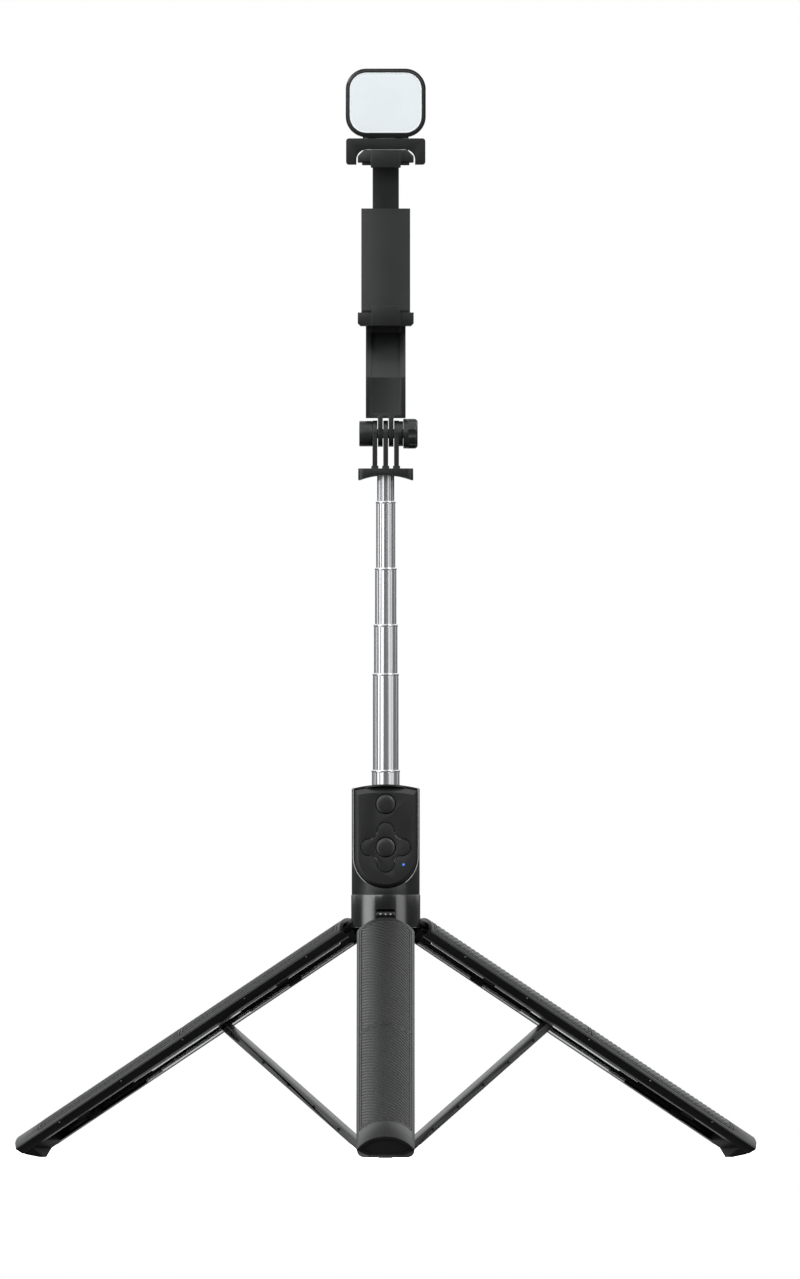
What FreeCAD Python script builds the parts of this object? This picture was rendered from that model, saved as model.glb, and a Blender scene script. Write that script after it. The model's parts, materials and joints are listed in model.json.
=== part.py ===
import FreeCAD, Part
import math
import os

# A folding tripod selfie stick, standing on the ground with its three legs open.
# Frame: millimetres, +Z up the mast, -Y towards the user, +X to the user's right.
# Origin: on the mast axis, on the ground. A leg's own sizes are given in its closed,
# hanging place: t across it, h out from the mast axis, s down from its hinge.

V = FreeCAD.Vector
X, Y, Z = V(1, 0, 0), V(0, 1, 0), V(0, 0, 1)
FIT = 0.05                    # radial clearance of a running fit
REACH = 60.0                  # longer than any cut has to be
OVER = 1.0                    # how far a cut runs out of a face, or a lug sinks into its wall

# --- legs -----------------------------------------------------------------------------
LEG_TURNS = {"front": 0.0, "left": -120.0, "right": 120.0}
LEG_OPEN = 60.0               # degrees from hanging to open
HINGE_R, HINGE_Z = 15.5, 129.2
HINGE_PIN_R, HINGE_PIN_HALF = 1.0, 7.6
TONGUE_R, TONGUE_HALF, TONGUE_END, TONGUE_OUT = 2.1, 4.6, 20.0, 15.0
LEG_R = 18.0                  # outer radius of the closed bundle of legs
LEG_SIDE_GAP, LEG_SIDE_WALL, LEG_WALL = 0.2, 1.4, 2.2
SHELL_S = (7.6, 240.0)
END_TILT = 4.0                # the shell's end leans under by this many degrees
MOUTH_H = 6.4                 # the open side of the shell
PAD_S = ((10.0, 121.7), (121.7, 223.0))
PAD_HALF_ANGLE, PAD_IN_R, PAD_OUT_R, PAD_GAP = 50.6, 17.45, 18.1, 0.05
CHANNEL_S = (12.0, 206.0)
CHANNEL_OUT_R, CHANNEL_IN_R = 15.75, 15.2
CHANNEL_HALF, CHANNEL_IN_HALF, CHANNEL_H = 8.5, 7.9, 7.7
RAIL_S, RAIL_T, RAIL_H = (15.0, 162.0), (6.5, 8.5), (6.2, 7.7)
RAIL_WIDE_S, RAIL_WIDE_T = (87.0, 150.0), 4.6
CLIP_S, CLIP_LENGTH, CLIP_T, CLIP_H = (56.0, 198.0), 8.0, (6.4, 8.1), (5.5, 6.9)
CLIP_ROOT_H = (6.2, 10.0)
LUG_S, LUG_T, LUG_H = (98.5, 109.0), (4.1, 5.4), (8.4, 15.2)
LUG_WEB_T, LUG_WEB_H = (4.4, 8.3), (12.4, 13.4)
FOOT_S, FOOT_GAP, FOOT_RECESS = (224.0, 242.0), 0.3, 0.8
FOOT_BACK = ((224.0, 6.4), (232.4, 6.2))
FOOT_FLAT_S = (233.2, 235.2)  # the part of the sole that rests on the ground
FOOT_SOLE = (238.8, 6.0)      # where the sole runs out at the end

# --- struts and hub -------------------------------------------------------------------
STRUT_S, STRUT_H = 103.7, 11.1        # strut pivot in the leg
HUB_PIN_R, HUB_PIN_Z = 12.0, 3.8      # strut pivot in the hub, legs open
STRUT_HALF, STRUT_THICK, STRUT_EYE_R = 3.7, 3.85, 3.6
STRUT_HEAD_R = 3.0
STRUT_WALL, STRUT_WEB, STRUT_CHANNEL_END = 0.9, 1.1, 7.0
STRUT_HOLE_R, STRUT_HOLE_PITCH, STRUT_HOLES = 0.9, 19.5, 5
STRUT_PIN_R, STRUT_PIN_HALF = 1.25, 7.85
HUB_PIN_RADIUS, HUB_PIN_HALF = 1.0, 6.2
FREE_EYE_R = 2.75             # the two side struts' lower eyes float round the hub's pins
HUB_R, HUB_Z, HUB_LOBE_R, HUB_LOBE_HALF, HUB_LOBE_Z = 9.2, 9.5, 14.6, 6.2, 6.4
HUB_SLOT_HALF, HUB_SLOT_R, HUB_FOOT_R = 4.8, 7.4, 12.2

# --- collar, handle and remote --------------------------------------------------------
COLLAR_R, COLLAR_IN_R, COLLAR_Z, COLLAR_CHAMFER = 18.4, 16.9, (122.2, 139.6), 0.5
SLOT_HALF, SLOT_IN_R, SLOT_TOP = 4.9, 12.7, 131.9
YOKE_R, YOKE_Z = 16.85, (122.6, 139.5)
HANDLE_R, HANDLE_Z, ARCH_R = 18.1, (139.6, 198.3), 72.4
RIM_HALF, RIM_Y = 17.6, -14.5
CRADLE_HALF, CRADLE_Y, CRADLE_TOP = 16.9, -8.7, 197.3
ROUND_Z = 159.8               # centre of the half-round lower end of cradle and remote
REMOTE_HALF, REMOTE_TOP = 16.6, 196.9
FACE_HALF, FACE_TOP = 14.6, 194.2
REMOTE_Y = (-16.9, -14.8, -12.7, -12.6, -9.0)   # face, bevel, front edge, back edge, back
REMOTE_WALL_Y, REMOTE_CAVITY_HALF, REMOTE_CAVITY_TOP = 1.2, 14.0, 193.0
SHUTTER_Z, BUTTON_R, BUTTON_GAP, BUTTON_Y = 187.8, 5.1, 0.4, (-17.9, -15.6)
BUTTON_ROUND, STEM_R, STEM_Y = 1.0, 2.0, -14.3
DPAD_Z, DPAD_REACH, DPAD_ARM_R, DPAD_FILLET, DPAD_GAP = 164.8, 13.0, 4.3, 4.1, 0.45
DPAD_Y = (-17.3, -16.0)
GIMBAL_R, GIMBAL_Y = (9.5, 5.7), (-15.4, -14.6)
BOARD_Y, BOARD_HALF, BOARD_TOP = (-13.5, -12.8), 13.6, 192.4
CELL_R, CELL_Y, CELL_Z = 8.0, (-12.5, -10.5), 176.0

# --- mast -----------------------------------------------------------------------------
TUBE_OD = (15.05, 13.9, 12.75, 11.6, 10.45, 9.3)       # from the fixed tube inwards
TUBE_TOP = (206.1, 257.5, 283.6, 313.7, 349.2, 366.0)
TUBE_WALL, TUBE_LENGTH, TUBE_FOOT_Z, TUBE_FLOOR = 0.35, 188.0, 10.0, 2.0
LIP_HEIGHT, GLIDE_LENGTH = 2.0, 14.0

# --- head and arm ---------------------------------------------------------------------
CAP_HALF, CAP_DEPTH, CAP_Z, CAP_FLAT, CAP_ARCH_Z = 14.65, 9.0, (360.3, 366.4), 13.6, 362.8
CAP_CORNER = 3.0
PIVOT_Z, FINGER_R, FINGER_THICK, FINGER_PITCH = 385.0, 7.0, 2.6, 2.875
FINGER_FLARE, FINGER_FLARE_Z = 0.6, 1.4
SPACER_X, SPACER_R = (7.05, 9.25), 6.7
NUT_X, NUT_R = (-14.1, -7.05), 6.8
BOLT_R, BOLT_X = 2.5, (-13.4, 9.4)
FLANGE_X, FLANGE_R = (9.35, 11.3), 7.9
KNOB_X, KNOB_R, KNOB_ROUND, KNOB_RIM = (11.3, 17.0), 7.95, 1.8, 0.8
FLUTE_R, FLUTE_OFFSET, FLUTES = 5.0, 12.2, 6
ARM_HALF, ARM_Z, ARM_HALF_DEPTH = 10.6, (393.3, 489.5), 4.2
ARM_BEND_Z, ARM_BACK_Y = (415.0, 439.0), (10.35, 15.0)
ARM_GROOVE_HALF, ARM_GROOVE_DEPTH, ARM_GROOVE_Z = 7.7, 2.4, (395.6, 468.0)
SWIVEL_R, SWIVEL_Y, SWIVEL_HEAD_R, SWIVEL_HEAD_Y = 2.5, (7.9, 15.2), 4.5, (15.0, 16.2)

# --- phone clamp ----------------------------------------------------------------------
SWIVEL_Z = 489.5
CLAMP_Y = (4.6, 10.0)
PLATE_HALF, PLATE_Z = 13.0, (446.0, 505.0)
JAW_HALF, JAW_FRONT_Y = 14.9, -5.8
LOWER_JAW_Z, LOWER_PAD_Z = (442.3, 449.4), 450.8
UPPER_JAW_Z, UPPER_PAD_Z = (529.3, 536.0), 527.9
LIP_Y, LOWER_LIP_HALF, LOWER_LIP_Z = (-8.0, -5.8), 7.6, (446.0, 453.0)
UPPER_LIP_HALF, UPPER_LIP_Z = 8.0, (526.3, 534.3)
LOWER_JAW_CHAMFER, UPPER_JAW_CHAMFER = 1.5, 3.4
PAD_HALF, PAD_Y = 12.6, (-5.2, 4.2)
CHANNEL_X, CHANNEL_Y, CHANNEL_FLOOR_Z = 11.0, (5.2, 7.6), 448.0
STEM_HALF, STEM_PLATE_Y, STEM_FOOT_Z = 7.0, (5.45, 7.35), 468.0
STEM_GUARD_HALF = 10.7
SPRING_X, SPRING_R, SPRING_BORE, SPRING_Z = 9.0, 1.0, 0.7, (448.6, 489.7)
TAB_Z = (490.0, 492.0)
BOSS_R, BOSS_Y = 9.0, 10.3

# --- fill light -----------------------------------------------------------------------
BRACKET_HALF, BRACKET_Z, BRACKET_Y = 21.1, (528.2, 542.1), (-4.0, 6.0)
BRACKET_GAP_HALF, BRACKET_GAP_TOP, BRACKET_GAP_R, BRACKET_CORNER = 15.6, 536.4, 5.5, 1.6
LIGHT_HALF, LIGHT_Z, LIGHT_Y, LIGHT_CORNER = 21.3, (542.8, 579.2), (-4.6, 5.4), 11.0
LIGHT_BEZEL, LIGHT_BACK, LIGHT_GAP = 1.8, 1.6, 0.1
DIFFUSER_THICK, LED_Y = 2.2, (0.4, 1.4)
NECK_HALF, NECK_Z, NECK_Y = 12.2, (542.3, 546.0), (-3.0, 4.6)
LIGHT_HINGE_Y, LIGHT_HINGE_Z, LIGHT_HINGE_R, LIGHT_HINGE_PIN_R = 7.6, 544.6, 1.9, 0.8
KNUCKLE_X, OUTER_KNUCKLE_X, LIGHT_POST_Z = (-5.0, 5.0), (5.2, 9.4), 539.0
LIGHT_BUTTON_Z, LIGHT_BUTTON_R, LIGHT_BUTTON_Y, LIGHT_BUTTON_ROUND = 565.0, 4.0, (3.2, 6.2), 0.6


def box(x, y, z):
    """A block between the (low, high) pairs x, y and z."""
    return Part.makeBox(x[1] - x[0], y[1] - y[0], z[1] - z[0], V(x[0], y[0], z[0]))


def even(half):
    return (-half, half)


def rod(radius, start, end):
    return Part.makeCylinder(radius, (end - start).Length, start, end - start)


def rod_x(radius, x, y, z):
    return rod(radius, V(x[0], y, z), V(x[1], y, z))


def rod_y(radius, y, z, x=0.0):
    return rod(radius, V(x, y[0], z), V(x, y[1], z))


def rod_z(radius, z, x=0.0, y=0.0):
    return rod(radius, V(x, y, z[0]), V(x, y, z[1]))


def pipe_z(outer, inner, z):
    return rod_z(outer, z).cut(rod_z(inner, z))


def prism(points, depth):
    """The closed outline through the points, pushed along the vector depth."""
    return Part.Face(Part.makePolygon(points + points[:1])).extrude(depth)


def turned(shape, degrees, axis=Z, point=V(0, 0, 0)):
    copy = shape.copy()
    copy.rotate(point, axis, degrees)
    return copy


def joined(shapes):
    """The shapes made into one, with no seam left where they meet."""
    shapes = list(shapes)
    return shapes[0].multiFuse(shapes[1:]).removeSplitter()


def mirrored(shape):
    return shape.mirror(V(0, 0, 0), X)


def both_sides(shape):
    return [shape, mirrored(shape)]


def ends(shape, axis, place):
    """The edges that lie whole in the plane where the coordinate axis is place."""
    near = 1e-4
    return [edge for edge in shape.Edges
            if all(abs(getattr(vertex.Point, axis) - place) < near for vertex in edge.Vertexes)]


def along(shape, direction):
    """The straight edges that run along the direction."""
    found = []
    for edge in shape.Edges:
        if not isinstance(edge.Curve, Part.Line):
            continue
        if abs(edge.tangentAt(edge.FirstParameter).dot(direction)) > 0.999:
            found.append(edge)
    return found


# --- legs -----------------------------------------------------------------------------

def leg_span(s):
    """The heights of two places down a closed leg, lowest first."""
    return (HINGE_Z - s[1], HINGE_Z - s[0])


def leg_box(t, h, s):
    return box(t, (-h[1], -h[0]), leg_span(s))


def leg_round(radius, s):
    return rod_z(radius, leg_span(s))


def leg_sector(half_angle, inset, s):
    """The wedge between two planes through the mast axis, each moved in by inset."""
    angle = math.radians(half_angle)
    low, high = leg_span(s)
    tip = -inset / math.sin(angle)
    far = tip - REACH * math.cos(angle)
    side = REACH * math.sin(angle)
    return prism([V(0, tip, low), V(side, far, low), V(-side, far, low)], V(0, 0, high - low))


def beyond_end(recess):
    """Everything past the shell's slanted end, moved up the leg by recess."""
    end = SHELL_S[1] - recess
    block = leg_box(even(REACH), (-REACH, REACH), (end, end + REACH))
    return turned(block, END_TILT, X, V(0, -LEG_R, HINGE_Z - end))


def leg_shell():
    """The moulded outer trough, a third of a round tube, recessed for its grip pads."""
    trough = leg_round(LEG_R, SHELL_S).common(leg_sector(60.0, LEG_SIDE_GAP, SHELL_S))
    inner = leg_round(LEG_R - LEG_WALL, SHELL_S)
    hollow = inner.common(leg_sector(60.0, LEG_SIDE_GAP + LEG_SIDE_WALL, SHELL_S))
    trough = trough.cut(hollow).cut(leg_box(even(LEG_R), (-OVER, MOUTH_H), SHELL_S))
    for s in PAD_S:
        recess = leg_round(LEG_R + OVER, s).cut(leg_round(PAD_IN_R - PAD_GAP, s))
        trough = trough.cut(recess.common(leg_sector(PAD_HALF_ANGLE, 0.0, s)))
    return trough.cut(beyond_end(0.0))


def grip_pads():
    pads = []
    for s in PAD_S:
        span = (s[0] + PAD_GAP, s[1] - PAD_GAP)
        skin = leg_round(PAD_OUT_R, span).cut(leg_round(PAD_IN_R, span))
        pads.append(skin.common(leg_sector(PAD_HALF_ANGLE, PAD_GAP, span)))
    return Part.makeCompound(pads)


def hinge_tongue():
    tongue = rod_x(TONGUE_R, even(TONGUE_HALF), -HINGE_R, HINGE_Z)
    root = leg_box(even(TONGUE_HALF), (HINGE_R - TONGUE_R, TONGUE_OUT), (0.0, TONGUE_END))
    return [tongue, root]


def leg_frame():
    """The channel inside the shell, with its hinge tongue, clips and strut lugs."""
    outside = leg_round(CHANNEL_OUT_R, CHANNEL_S)
    outside = outside.common(leg_box(even(CHANNEL_HALF), (CHANNEL_H, LEG_R), CHANNEL_S))
    inside = leg_round(CHANNEL_IN_R, CHANNEL_S)
    inside = inside.common(leg_box(even(CHANNEL_IN_HALF), (0.0, LEG_R), CHANNEL_S))
    parts = [outside.cut(inside)] + hinge_tongue()
    lug = leg_box(LUG_T, LUG_H, LUG_S).common(leg_round(CHANNEL_OUT_R - FIT, LUG_S))
    web = leg_box(LUG_WEB_T, LUG_WEB_H, LUG_S)
    parts += both_sides(lug.fuse(web.common(leg_round(CHANNEL_OUT_R - FIT, LUG_S))))
    for middle in CLIP_S:
        s = (middle - CLIP_LENGTH / 2, middle + CLIP_LENGTH / 2)
        clip = leg_box(CLIP_T, CLIP_H, s).fuse(leg_box((CLIP_T[0], CHANNEL_HALF), CLIP_ROOT_H, s))
        parts += both_sides(clip.common(leg_sector(60.0, LEG_SIDE_GAP + LEG_SIDE_WALL + FIT, s)))
    frame = joined(parts)
    frame = frame.cut(rod_x(HINGE_PIN_R + FIT, even(TONGUE_HALF + OVER), -HINGE_R, HINGE_Z))
    pin_z = HINGE_Z - STRUT_S
    return frame.cut(rod_x(STRUT_PIN_R, even(STRUT_PIN_HALF), -STRUT_H, pin_z))


def leg_rail():
    """The bright strips along the mouth of the channel, wider round the strut's pivot."""
    strip = leg_box(RAIL_T, RAIL_H, RAIL_S)
    flange = leg_box((RAIL_WIDE_T, RAIL_T[1]), RAIL_H, RAIL_WIDE_S)
    side = strip.fuse(flange).removeSplitter()
    side = side.common(leg_sector(60.0, LEG_SIDE_GAP + LEG_SIDE_WALL + FIT, RAIL_S))
    half = CLIP_LENGTH / 2 + FIT
    side = side.cut(leg_box(RAIL_T, RAIL_H, (CLIP_S[0] - half, CLIP_S[0] + half)))
    return Part.makeCompound(both_sides(side))


def foot_point(s, h):
    return V(0, -h, HINGE_Z - s)


def ground_h(s):
    """How far out a point of the leg lies when it touches the ground with the leg open."""
    angle = math.radians(LEG_OPEN)
    return HINGE_R + (s * math.cos(angle) - HINGE_Z) / math.sin(angle)


def leg_foot():
    """The rubber shoe that plugs the shell's end and stands on its narrow, flat-tipped sole."""
    heel_s, toe_s = FOOT_FLAT_S
    out_h = LEG_R - LEG_WALL
    outline = [foot_point(FOOT_S[0], out_h)] + [foot_point(*point) for point in FOOT_BACK]
    outline += [foot_point(heel_s, ground_h(heel_s)), foot_point(toe_s, ground_h(toe_s))]
    outline += [foot_point(*FOOT_SOLE), foot_point(FOOT_S[1], FOOT_SOLE[1]), foot_point(FOOT_S[1], out_h)]
    shoe = prism(outline, V(2 * LEG_R, 0, 0)).translated(V(-LEG_R, 0, 0))
    span = (FOOT_S[0] - OVER, FOOT_S[1] + OVER)
    past_end = beyond_end(FOOT_RECESS).common(leg_box(even(LEG_R), (FOOT_SOLE[1], LEG_R), span))
    shoe = shoe.cut(past_end).common(leg_sector(60.0, FOOT_GAP, span))
    inset = LEG_SIDE_GAP + LEG_SIDE_WALL + FIT
    inside = leg_round(LEG_R - LEG_WALL - FIT, span).common(leg_sector(60.0, inset, span))
    below = leg_box(even(LEG_R), (-OVER, MOUTH_H - FIT), span)
    return shoe.common(joined([inside, below]))


def strut_pin():
    return rod_x(STRUT_PIN_R, even(STRUT_PIN_HALF), -STRUT_H, HINGE_Z - STRUT_S)


def open_leg(shape, turn):
    """A closed leg piece swung open about its hinge, then turned to its own side."""
    return turned(turned(shape, -LEG_OPEN, X, V(0, -HINGE_R, HINGE_Z)), turn)


def strut_pivot():
    """The strut's upper pivot on the front leg, with the leg open."""
    point = Part.Vertex(0, -STRUT_H, HINGE_Z - STRUT_S)
    return open_leg(point, 0.0).Point


def strut(turn, eye_radius):
    """A channel-section strut from its pivot in the leg down to its eye on the hub."""
    top, bottom = strut_pivot(), V(0, -HUB_PIN_R, HUB_PIN_Z)
    length = (bottom - top).Length
    lean = math.degrees(math.atan2(bottom.y - top.y, top.z - bottom.z))
    half = STRUT_THICK / 2
    bar = box(even(STRUT_HALF), even(half), (-length, 0.0))
    head = rod_x(STRUT_HEAD_R, even(STRUT_HALF), 0.0, 0.0)
    eye = rod_x(STRUT_EYE_R, even(STRUT_HALF), 0.0, -length)
    body = joined([bar, head, eye])
    inner = STRUT_HALF - STRUT_WALL
    hollow = (-length + STRUT_CHANNEL_END, -STRUT_CHANNEL_END)
    body = body.cut(box(even(inner), (-half, half - STRUT_WEB), hollow))
    body = body.cut(rod_x(STRUT_PIN_R + FIT, even(STRUT_HALF), 0.0, 0.0))
    body = body.cut(rod_x(eye_radius, even(STRUT_HALF), 0.0, -length))
    first = -(length - STRUT_HOLE_PITCH * (STRUT_HOLES - 1)) / 2
    for step in range(STRUT_HOLES):
        height = first - step * STRUT_HOLE_PITCH
        body = body.cut(rod_x(STRUT_HOLE_R, even(STRUT_HALF), 0.0, height))
    return turned(turned(body, lean, X).translated(top), turn)


def hub():
    """The block that ties the three struts together and rests on the ground."""
    body = rod_z(HUB_R, (0.0, HUB_Z))
    lobe = box(even(HUB_LOBE_HALF), (-HUB_LOBE_R, 0.0), (0.0, HUB_LOBE_Z))
    lobe = lobe.common(rod_z(HUB_LOBE_R, (0.0, HUB_LOBE_Z)))
    body = joined([body] + [turned(lobe, turn) for turn in LEG_TURNS.values()])
    slot = box(even(HUB_SLOT_HALF), (-REACH, -HUB_SLOT_R), (-OVER, HUB_Z + OVER))
    for turn in LEG_TURNS.values():
        body = body.cut(turned(slot, turn))
    body = body.common(Part.makeCone(HUB_FOOT_R, HUB_FOOT_R + HUB_Z, HUB_Z))
    return body.cut(hub_pins())


def hub_pins():
    pin = rod_x(HUB_PIN_RADIUS, even(HUB_PIN_HALF - FIT), -HUB_PIN_R, HUB_PIN_Z)
    return Part.makeCompound([turned(pin, turn) for turn in LEG_TURNS.values()])


# --- collar and handle ----------------------------------------------------------------

def hinge_pins():
    pin = rod_x(HINGE_PIN_R, even(HINGE_PIN_HALF), -HINGE_R, HINGE_Z)
    return Part.makeCompound([turned(pin, turn) for turn in LEG_TURNS.values()])


def slotted(shape):
    """The shape with the three leg slots and the three pin holes cut in it."""
    slot = box(even(SLOT_HALF), (-REACH, -SLOT_IN_R), (COLLAR_Z[0] - OVER, SLOT_TOP))
    for turn in LEG_TURNS.values():
        shape = shape.cut(turned(slot, turn))
    return shape.cut(hinge_pins())


def collar():
    outside = rod_z(COLLAR_R, COLLAR_Z)
    outside = outside.makeChamfer(COLLAR_CHAMFER, ends(outside, "z", COLLAR_Z[0]))
    return slotted(outside.cut(rod_z(COLLAR_IN_R, COLLAR_Z)))


def leg_yoke():
    return slotted(pipe_z(YOKE_R, TUBE_OD[0] / 2, YOKE_Z))


def round_ended(half, y, top):
    """The outline of cradle and remote: straight sides, half-round foot, arched top."""
    drop = ARCH_R - math.sqrt(ARCH_R ** 2 - half ** 2)
    left, right = V(-half, y, ROUND_Z), V(half, y, ROUND_Z)
    top_left, top_right = V(-half, y, top - drop), V(half, y, top - drop)
    edges = [Part.makeLine(top_left, left)]
    edges.append(Part.Arc(left, V(0, y, ROUND_Z - half), right).toShape())
    edges.append(Part.makeLine(right, top_right))
    edges.append(Part.Arc(top_right, V(0, y, top), top_left).toShape())
    return Part.Wire(edges)


def round_ended_block(half, y, top):
    return Part.Face(round_ended(half, y[0], top)).extrude(V(0, y[1] - y[0], 0))


def handle_body():
    """The round handle, with a raised rim on its front that holds the remote."""
    tall = (HANDLE_Z[0], HANDLE_Z[1] + OVER)
    body = rod_z(HANDLE_R, tall).fuse(round_ended_block(RIM_HALF, (RIM_Y, 0.0), tall[1]))
    body = body.common(rod_y(ARCH_R, even(REACH), HANDLE_Z[1] - ARCH_R))
    body = body.cut(round_ended_block(CRADLE_HALF, (-REACH, CRADLE_Y), CRADLE_TOP))
    return body.cut(rod_z(TUBE_OD[0] / 2, tall)).removeSplitter()


def remote_front():
    """The front half of the remote: a bevelled face with openings for its buttons."""
    face_y, bevel_y, edge_y = REMOTE_Y[:3]
    skirt = round_ended_block(REMOTE_HALF, (bevel_y, edge_y), REMOTE_TOP)
    outlines = [round_ended(FACE_HALF, face_y, FACE_TOP), round_ended(REMOTE_HALF, bevel_y, REMOTE_TOP)]
    shell = skirt.fuse(Part.makeLoft(outlines, True, True)).removeSplitter()
    cavity = (face_y + REMOTE_WALL_Y, edge_y)
    shell = shell.cut(round_ended_block(REMOTE_CAVITY_HALF, cavity, REMOTE_CAVITY_TOP))
    through = (face_y - OVER, edge_y)
    shell = shell.cut(rod_y(BUTTON_R + BUTTON_GAP, through, SHUTTER_Z))
    return shell.cut(cross(DPAD_GAP, through))


def remote_back():
    edge_y, back_y = REMOTE_Y[3:]
    shell = round_ended_block(REMOTE_HALF, (edge_y, back_y), REMOTE_TOP)
    cavity = (edge_y, back_y - REMOTE_WALL_Y)
    return shell.cut(round_ended_block(REMOTE_CAVITY_HALF, cavity, REMOTE_CAVITY_TOP))


def remote_board():
    """The circuit board with its button cell behind it."""
    board = round_ended_block(BOARD_HALF, BOARD_Y, BOARD_TOP)
    return Part.makeCompound([board, rod_y(CELL_R, CELL_Y, CELL_Z)])


def cross(extra, y):
    """A four-armed pad with round arm ends and hollow inner corners, grown by extra."""
    radius = DPAD_ARM_R + extra
    reach = DPAD_REACH + extra - radius
    fillet = DPAD_FILLET - extra
    arms = []
    for side in (-1, 1):
        arms.append(rod_y(radius, y, DPAD_Z, side * reach))
        arms.append(rod_y(radius, y, DPAD_Z + side * reach))
    arms.append(box(even(reach), y, (DPAD_Z - radius, DPAD_Z + radius)))
    arms.append(box(even(radius), y, (DPAD_Z - reach, DPAD_Z + reach)))
    middle = radius + fillet
    core = box(even(middle), y, (DPAD_Z - middle, DPAD_Z + middle))
    for side in (-1, 1):
        for rise in (-1, 1):
            core = core.cut(rod_y(fillet, y, DPAD_Z + rise * middle, side * middle))
    return joined(arms + [core])


def button(z):
    """A domed round button on a stem."""
    cap = rod_y(BUTTON_R, BUTTON_Y, z)
    cap = cap.makeFillet(BUTTON_ROUND, ends(cap, "y", BUTTON_Y[0]))
    return cap.fuse(rod_y(STEM_R, (BUTTON_Y[1], STEM_Y), z)).removeSplitter()


def dpad():
    pad = cross(0.0, DPAD_Y)
    return pad.cut(rod_y(BUTTON_R + BUTTON_GAP, (DPAD_Y[0] - OVER, DPAD_Y[1] + OVER), DPAD_Z))


def dpad_gimbal():
    outer, inner = GIMBAL_R
    return rod_y(outer, GIMBAL_Y, DPAD_Z).cut(rod_y(inner, GIMBAL_Y, DPAD_Z))


# --- mast -----------------------------------------------------------------------------

def tube_bottom(index):
    return TUBE_FOOT_Z if index == 0 else TUBE_TOP[index] - TUBE_LENGTH


def tube(index):
    """One mast tube: plain wall, rolled lip at its top, and a floor in the fixed one."""
    radius, top, bottom = TUBE_OD[index] / 2, TUBE_TOP[index], tube_bottom(index)
    wall = pipe_z(radius, radius - TUBE_WALL, (bottom, top))
    if index + 1 < len(TUBE_OD):
        lip = pipe_z(radius - TUBE_WALL / 2, TUBE_OD[index + 1] / 2 + FIT, (top - LIP_HEIGHT, top))
        wall = joined([wall, lip])
    if index == 0:
        wall = joined([wall, rod_z(radius - TUBE_WALL / 2, (bottom, bottom + TUBE_FLOOR))])
    return wall


def glide(index):
    """The plastic sleeve round a tube's lower end, running in the tube outside it."""
    bottom = tube_bottom(index)
    outer = TUBE_OD[index - 1] / 2 - TUBE_WALL - FIT
    return pipe_z(outer, TUBE_OD[index] / 2, (bottom, bottom + GLIDE_LENGTH))


# --- head and arm ---------------------------------------------------------------------

def finger(x, bottom):
    """A round-ended ear of the head's clevis, centred at x."""
    span = (x - FINGER_THICK / 2, x + FINGER_THICK / 2)
    ear = rod_x(FINGER_R, span, 0.0, PIVOT_Z)
    return ear.fuse(box(span, even(FINGER_R), sorted((bottom, PIVOT_Z))))


def cap_plate():
    plate = box(even(CAP_HALF), even(CAP_DEPTH), CAP_Z)
    plate = plate.makeFillet(CAP_CORNER, along(plate, Z))
    rise = CAP_ARCH_Z - CAP_Z[0]
    radius = (CAP_FLAT ** 2 + rise ** 2) / (2 * rise)
    return plate.cut(rod_y(radius, even(REACH), CAP_ARCH_Z - radius))


def head_bracket():
    """The cap on the mast, its three ears and the boss that the knob bears on."""
    parts = [cap_plate()]
    for step in (-2, 0, 2):
        x = step * FINGER_PITCH
        parts.append(finger(x, CAP_Z[1] - OVER))
        flare = FINGER_THICK / 2 + FINGER_FLARE
        flare_z = (CAP_Z[1] - OVER, CAP_Z[1] + FINGER_FLARE_Z)
        parts.append(box((x - flare, x + flare), even(FINGER_R), flare_z))
    parts.append(rod_x(SPACER_R, SPACER_X, 0.0, PIVOT_Z))
    bracket = joined(parts).cut(rod_z(TUBE_OD[-1] / 2, (CAP_Z[0] - OVER, TUBE_TOP[-1])))
    return bracket.cut(rod_x(BOLT_R + FIT, even(REACH), 0.0, PIVOT_Z))


def head_nut():
    return rod_x(NUT_R, NUT_X, 0.0, PIVOT_Z).cut(rod_x(BOLT_R + FIT, even(REACH), 0.0, PIVOT_Z))


def thumb_knob():
    """The clamping bolt with its flange and fluted thumb knob."""
    grip = rod_x(KNOB_R, KNOB_X, 0.0, PIVOT_Z)
    grip = grip.makeFillet(KNOB_ROUND, ends(grip, "x", KNOB_X[1]))
    flute = rod_x(FLUTE_R, (KNOB_X[0] + KNOB_RIM, KNOB_X[1] + OVER), 0.0, PIVOT_Z + FLUTE_OFFSET)
    for step in range(FLUTES):
        grip = grip.cut(turned(flute, (step + 0.5) * 360.0 / FLUTES, X, V(0, 0, PIVOT_Z)))
    bolt = rod_x(BOLT_R, BOLT_X, 0.0, PIVOT_Z)
    return joined([bolt, rod_x(FLANGE_R, FLANGE_X, 0.0, PIVOT_Z), grip])


def arm_slice(half, front, back, z):
    """A length of the arm as wide as half each way, following its bend; front and back are
    the depths of its two faces below and above the bend."""
    bottom, top = z
    low, high = ARM_BEND_Z
    side = [(front[0], bottom), (front[0], low), (front[1], high), (front[1], top),
            (back[1], top), (back[1], high), (back[0], low), (back[0], bottom)]
    return prism([V(-half, y, z) for y, z in side], V(2 * half, 0, 0))


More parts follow.
